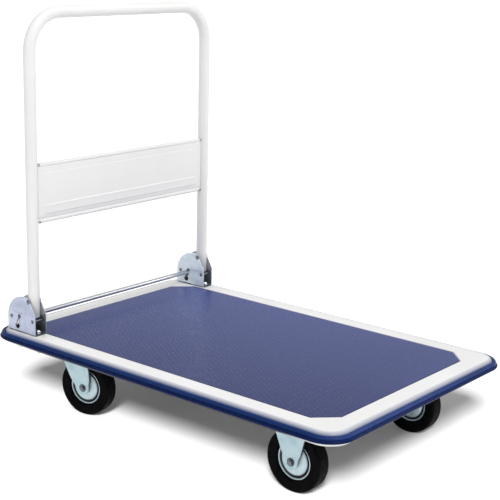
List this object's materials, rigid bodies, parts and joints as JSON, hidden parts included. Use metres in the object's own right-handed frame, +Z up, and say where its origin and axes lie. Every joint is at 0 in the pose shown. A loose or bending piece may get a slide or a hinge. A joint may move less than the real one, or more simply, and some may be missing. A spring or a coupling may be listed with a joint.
{
  "type": "platform trolley",
  "caption": "Flat-deck platform trolley with a rubber-edged steel deck, a folding tube handle with foot release bar, two fixed and two swivel casters.",
  "frame": {"origin": "on the floor under the middle of the deck", "axes": "+X to the front edge away from the handle, +Y to the left, +Z up"},
  "size_m": [0.9246, 0.6126, 0.8652],
  "materials": {
    "white_paint": "satin",
    "mat_blue": "matte",
    "navy_vinyl": "gloss",
    "zinc_lilac": "satin",
    "zinc_pale": "satin",
    "zinc_bright": "gloss",
    "tyre_black": "matte",
    "spring_steel": "satin"
  },
  "bodies": {
    "deck": {"axle_bolt_front_left": "zinc_bright", "axle_bolt_front_right": "zinc_bright", "axle_nut_front_left": "zinc_bright", "axle_nut_front_right": "zinc_bright", "backing_channel_left": "white_paint", "backing_channel_right": "white_paint", "bracket_bolt_left_front": "zinc_bright", "bracket_bolt_left_rear": "zinc_bright", "bracket_bolt_right_front": "zinc_bright", "bracket_bolt_right_rear": "zinc_bright", "bracket_left": "zinc_lilac", "bracket_nut_left_front": "zinc_bright", "bracket_nut_left_rear": "zinc_bright", "bracket_nut_right_front": "zinc_bright", "bracket_nut_right_rear": "zinc_bright", "bracket_right": "zinc_lilac", "bumper_strip": "navy_vinyl", "caster_fork_front_left": "zinc_pale", "caster_fork_front_right": "zinc_pale", "caster_plate_rear_left": "zinc_pale", "caster_plate_rear_right": "zinc_pale", "caster_race_rear_left": "zinc_pale", "caster_race_rear_right": "zinc_pale", "cross_member_front": "white_paint", "cross_member_rear": "white_paint", "deck_mat": "mat_blue", "deck_pan": "white_paint", "king_pin_rear_left": "zinc_bright", "king_pin_rear_right": "zinc_bright", "pivot_pin_left": "zinc_bright", "pivot_pin_right": "zinc_bright", "release_spring_left": "spring_steel", "release_spring_right": "spring_steel", "spacer_pin_left": "zinc_bright", "spacer_pin_right": "zinc_bright", "stiffener_left": "white_paint", "stiffener_right": "white_paint", "stop_pin_left": "zinc_bright", "stop_pin_right": "zinc_bright"},
    "handle": {"handle_tube": "white_paint", "handle_panel": "white_paint", "handle_foot_left": "zinc_pale", "handle_foot_right": "zinc_pale"},
    "release": {"release_bar": "zinc_bright"},
    "swivel_left": {"caster_fork_rear_left": "zinc_pale", "axle_bolt_rear_left": "zinc_bright", "axle_nut_rear_left": "zinc_bright"},
    "wheel_front_left": {"tyre_front_left": "tyre_black", "rim_front_left": "zinc_pale"},
    "wheel_rear_left": {"tyre_rear_left": "tyre_black", "rim_rear_left": "zinc_pale"},
    "swivel_right": {"caster_fork_rear_right": "zinc_pale", "axle_bolt_rear_right": "zinc_bright", "axle_nut_rear_right": "zinc_bright"},
    "wheel_front_right": {"tyre_front_right": "tyre_black", "rim_front_right": "zinc_pale"},
    "wheel_rear_right": {"tyre_rear_right": "tyre_black", "rim_rear_right": "zinc_pale"}
  },
  "joints": [
    {"name": "handle_fold", "type": "hinge", "parent": "deck", "child": "handle", "pos_m": [-0.359, 0, 0.25], "axis": [0, 1, 0], "range_deg": [0, 90]},
    {"name": "release_slide", "type": "slide", "parent": "deck", "child": "release", "axis": [-0.2688, 0, -0.9632], "range_m": [0, 0.0175], "stiffness_N_per_m": 600, "springref_m": -0.01, "deforming": ["release_spring_left", "release_spring_right"]},
    {"name": "swivel_left", "type": "hinge", "parent": "deck", "child": "swivel_left", "pos_m": [-0.306, 0.2, 0.15], "axis": [0, 0, 1], "continuous": true},
    {"name": "swivel_right", "type": "hinge", "parent": "deck", "child": "swivel_right", "pos_m": [-0.306, -0.2, 0.15], "axis": [0, 0, 1], "continuous": true},
    {"name": "wheel_spin_front_left", "type": "hinge", "parent": "deck", "child": "wheel_front_left", "pos_m": [0.303, 0.2, 0.0625], "axis": [0, 1, 0], "continuous": true},
    {"name": "wheel_spin_rear_left", "type": "hinge", "parent": "swivel_left", "child": "wheel_rear_left", "pos_m": [-0.2695, 0.2, 0.0625], "axis": [0, 1, 0], "continuous": true},
    {"name": "wheel_spin_front_right", "type": "hinge", "parent": "deck", "child": "wheel_front_right", "pos_m": [0.303, -0.2, 0.0625], "axis": [0, 1, 0], "continuous": true},
    {"name": "wheel_spin_rear_right", "type": "hinge", "parent": "swivel_right", "child": "wheel_rear_right", "pos_m": [-0.26995, -0.19429, 0.0625], "axis": [-0.1564, 0.9877, 0], "continuous": true}
  ]
}
